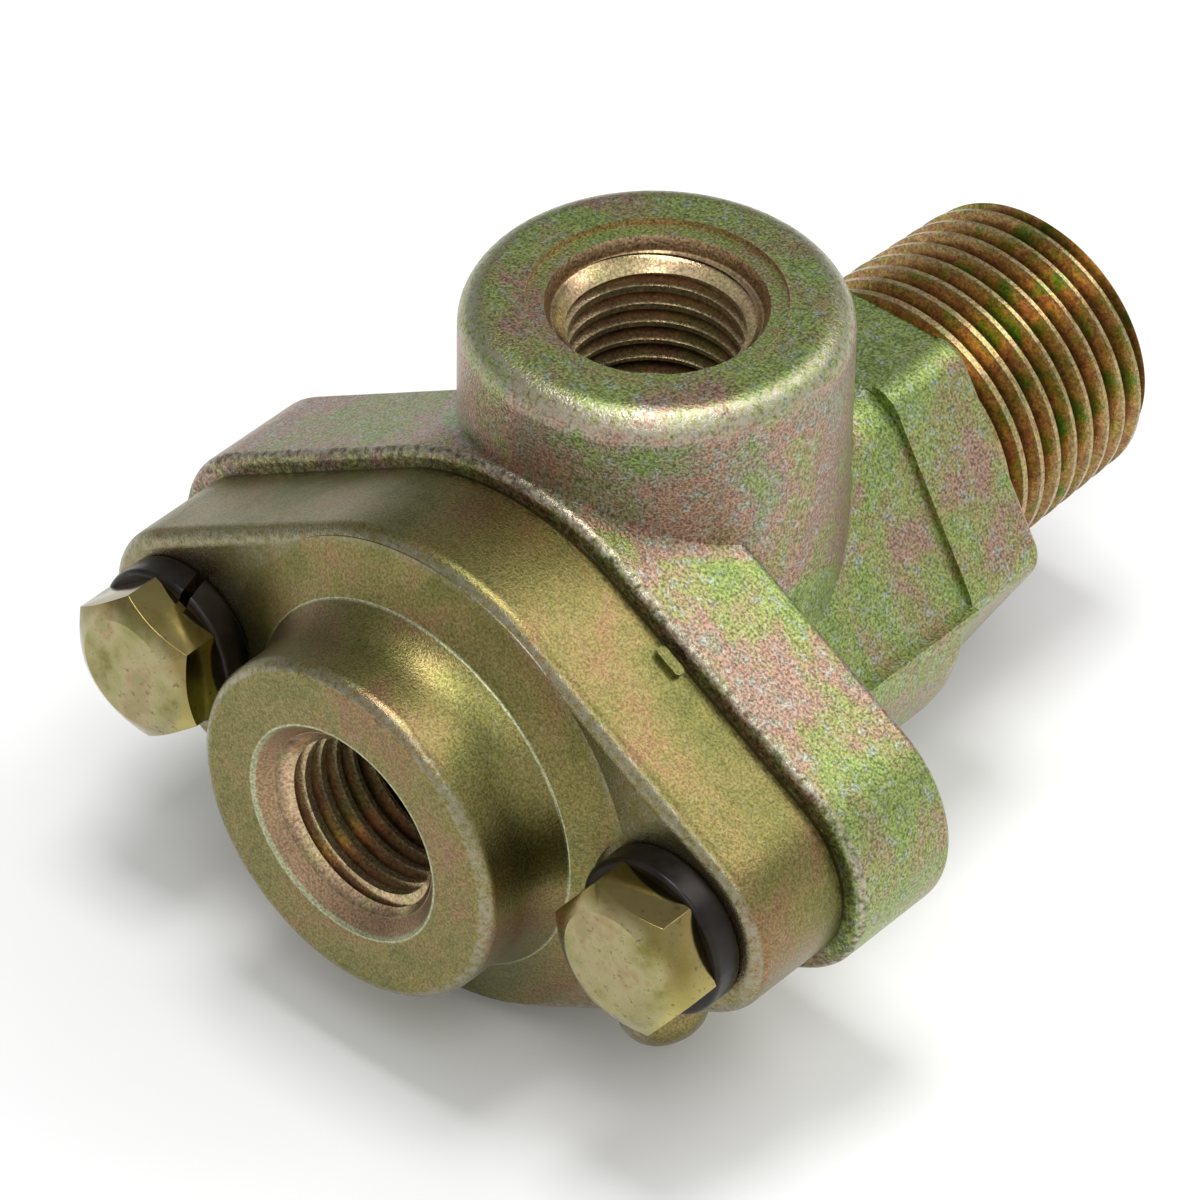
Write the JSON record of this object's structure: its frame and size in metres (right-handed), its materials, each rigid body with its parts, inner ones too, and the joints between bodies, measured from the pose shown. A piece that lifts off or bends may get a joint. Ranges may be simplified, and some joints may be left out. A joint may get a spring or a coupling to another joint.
{
  "type": "non-return valve",
  "caption": "Two-way non-return valve for compressed air: cast body with hexagon and taper pipe end, bolted oval end cap, female end and side ports, free shuttle inside.",
  "frame": {"origin": "middle of the hexagon's end face, the shoulder where the male pipe end starts, on the main axis", "axes": "+Y along the main axis out of the male end, +Z out of the side port, the two cap bolts at -X and +X"},
  "size_m": [0.0593, 0.0707, 0.0453],
  "materials": {
    "zinc_body": "blasted casting, iridescent yellow zinc plate with pink and green patches",
    "zinc_cap": "blasted casting, olive gold zinc plate",
    "zinc_bolt": "bright yellow zinc plate",
    "black_steel": "black oxide spring steel",
    "brass": "turned",
    "rubber": "moulded nitrile rubber",
    "guide_plastic": "moulded acetal"
  },
  "bodies": {
    "housing": {"body": "zinc_body", "end_cap": "zinc_cap", "cap_seat": "brass", "body_seat": "brass", "shuttle_guide": "guide_plastic", "cover_seal": "rubber", "cap_bolt_left": "zinc_bolt", "cap_bolt_right": "zinc_bolt", "lock_washer_left": "black_steel", "lock_washer_right": "black_steel"},
    "shuttle": {"shuttle_core": "brass", "shuttle_seal_front": "rubber", "shuttle_seal_rear": "rubber", "shuttle_retainer_front": "brass", "shuttle_retainer_rear": "brass", "shuttle_rivet": "brass"}
  },
  "joints": [
    {"name": "shuttle_slide", "type": "slide", "parent": "housing", "child": "shuttle", "axis": [0, 1, 0], "range_m": [0, 0.0028]}
  ]
}
